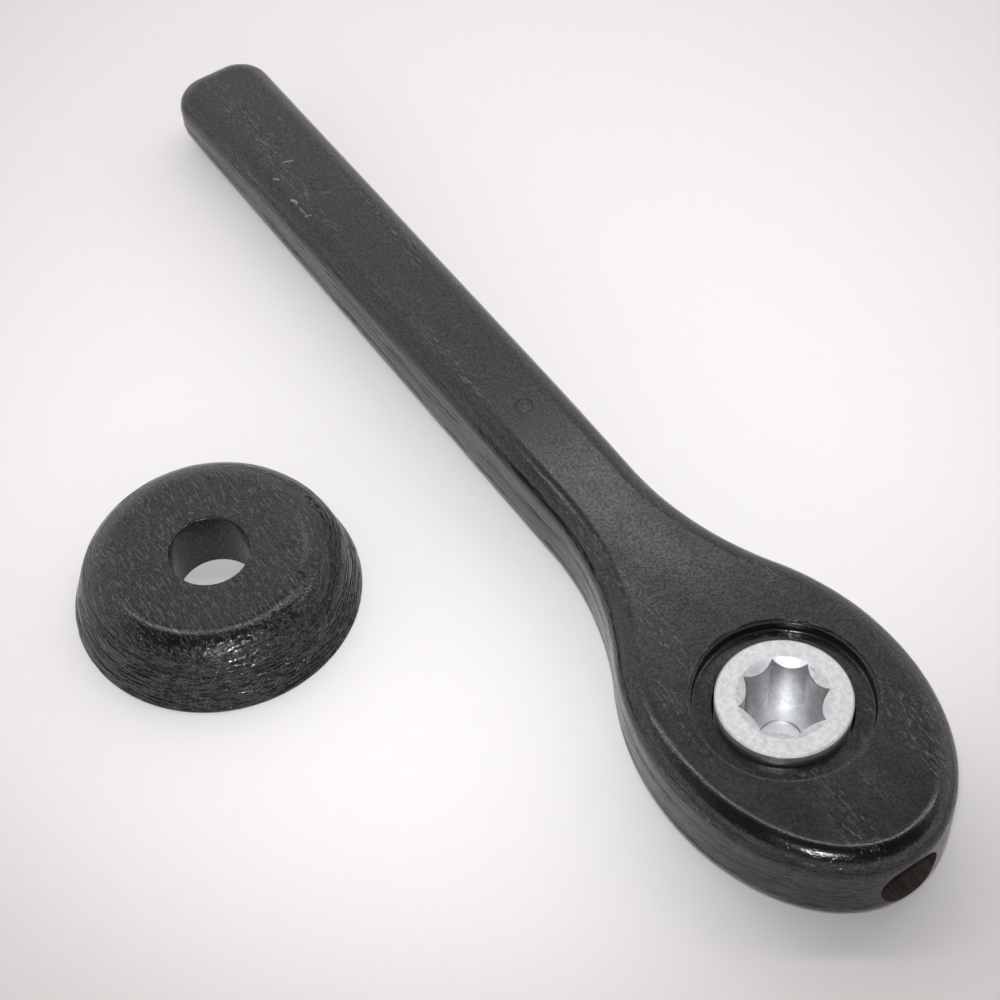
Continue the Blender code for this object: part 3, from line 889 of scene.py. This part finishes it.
carve_grain(collar, depth=0.00022, layer_pitch=0.2000, keep_flat=spare_bore)
flank = 1 - corner_array(collar.data, "normal")[:, 2] ** 2
mark(collar.data, "flank", flank * (1 - spare_bore(corner_array(collar.data))))
collar.data.set_sharp_from_angle(angle=math.radians(38))
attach(collar, "collar")
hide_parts("collar")

# ------------------------------------------------------------------------------------------
# Floor, light and camera.  A plain pale floor in a room that is bright low down all round and
# higher up on one side, with a soft lamp beside the camera, a window and a narrow strip overhead.

dim_side_turn = math.radians(150)
dim_side_lift = 0.6
world = bpy.data.worlds.new("room")
bpy.context.scene.world = world
world.use_nodes = True
room = world.node_tree
room_light = room.nodes["Background"]
toward = room.nodes.new("ShaderNodeTexCoord").outputs["Generated"]
dim_side_reach = math.sqrt(1 - dim_side_lift ** 2)
dim_side = Vector((dim_side_reach * math.cos(dim_side_turn),
                   dim_side_reach * math.sin(dim_side_turn), dim_side_lift))
facing = add(room, "ShaderNodeVectorMath", {0: toward, 1: dim_side}, operation="DOT_PRODUCT")
height = add(room, "ShaderNodeSeparateXYZ", {"Vector": toward}).outputs["Z"]
far_wall = remap(room, facing.outputs["Value"], 0.05, 0.60, 1.12, 0.08)
far_wall = calculated(room, "MULTIPLY", far_wall, remap(room, height, 0.80, 0.87, 1.0, 0.25))
low_wall = remap(room, height, 0.42, 0.58, 1.2, 0.0)
room.links.new(calculated(room, "MAXIMUM", far_wall, low_wall), room_light.inputs["Strength"])
room_light.inputs["Color"].default_value = (1.0, 0.985, 0.985, 1)

floor_reach = 12.0
floor_corners = [(-floor_reach, -floor_reach, 0), (floor_reach, -floor_reach, 0),
                 (floor_reach, floor_reach, 0), (-floor_reach, floor_reach, 0)]
floor_mesh = bpy.data.meshes.new("floor")
floor_mesh.from_pydata(floor_corners, [], [(0, 1, 2, 3)])
floor_object = bpy.data.objects.new("floor", floor_mesh)
bpy.context.scene.collection.objects.link(floor_object)
paper_low = (0.885, 0.855, 0.85, 1)
paper_high = (0.905, 0.875, 0.87, 1)
paper, paper_tree, paper_shader, paper_coords = new_finish("pale_paper")
paper_cloud = stretched_noise(paper_tree, paper_coords, (300, 300, 300), 3.0)
paper_colour = colour_mix(paper_tree, paper_cloud, paper_low, paper_high)
paper_tree.links.new(paper_colour, paper_shader.inputs["Base Color"])
paper_shader.inputs["Roughness"].default_value = 0.75
paper_shader.inputs["Specular IOR Level"].default_value = 0.2
floor_mesh.materials.append(paper)

heading = math.radians(150.14)
elevation = math.radians(52.13)
tilt = math.radians(-4.25)
target = Vector((0.0712, 0.0078, 0.0))
distance = 0.3978
away = Vector((math.cos(heading) * math.cos(elevation), math.sin(heading) * math.cos(elevation),
               math.sin(elevation)))


def aimed(item, place, at, roll=0.0):
    """Put a lamp or a camera at a place, looking at a point, turned by roll about its view."""
    look = (Vector(at) - Vector(place)).normalized()
    level = look.cross(Vector((0, 0, 1))).normalized()
    upright = level.cross(look)
    right = math.cos(roll) * level + math.sin(roll) * upright
    up = math.cos(roll) * upright - math.sin(roll) * level
    item.matrix_world = Matrix.Translation(place) @ Matrix((right, up, -look)).transposed().to_4x4()
    bpy.context.scene.collection.objects.link(item)


def panel(name, place, at, width, height, radiance, colour):
    """Rectangular soft lamp of a given brightness: its power is pi times brightness times area."""
    lamp = bpy.data.lights.new(name, "AREA")
    lamp.shape = "RECTANGLE"
    lamp.size = width
    lamp.size_y = height
    lamp.energy = math.pi * radiance * width * height
    lamp.color = colour
    aimed(bpy.data.objects.new(name, lamp), place, at)


lamp_distance = 0.42
lamp_place = target + away * lamp_distance + Vector((0.01, 0.01, 0.05))
lamp_target = target + Vector((0.029, -0.016, 0))
spot = bpy.data.lights.new("lamp_beside_camera", "SPOT")
spot.energy = 5.0
spot.color = (0.95, 0.97, 1.0)
spot.shadow_soft_size = 0.018
spot.spot_size = math.radians(38)
spot.spot_blend = 1.0
aimed(bpy.data.objects.new("lamp_beside_camera", spot), lamp_place, lamp_target)
panel_target = (0.05, 0.0, 0.0)
panel("window", (0.663, -0.407, 0.958), panel_target, width=0.24, height=0.13, radiance=2.1,
      colour=(1.0, 1.0, 1.0))
panel("strip_overhead", (0.36, -0.205, 1.14), panel_target, width=1.6, height=0.07, radiance=8.0,
      colour=(1.0, 0.98, 0.97))

camera_data = bpy.data.cameras.new("camera")
camera_data.lens = 79.7
camera_data.sensor_width = 36.0
camera = bpy.data.objects.new("camera", camera_data)
aimed(camera, target + away * distance, target, tilt)
bpy.context.scene.camera = camera
bpy.context.scene.view_settings.view_transform = "Standard"
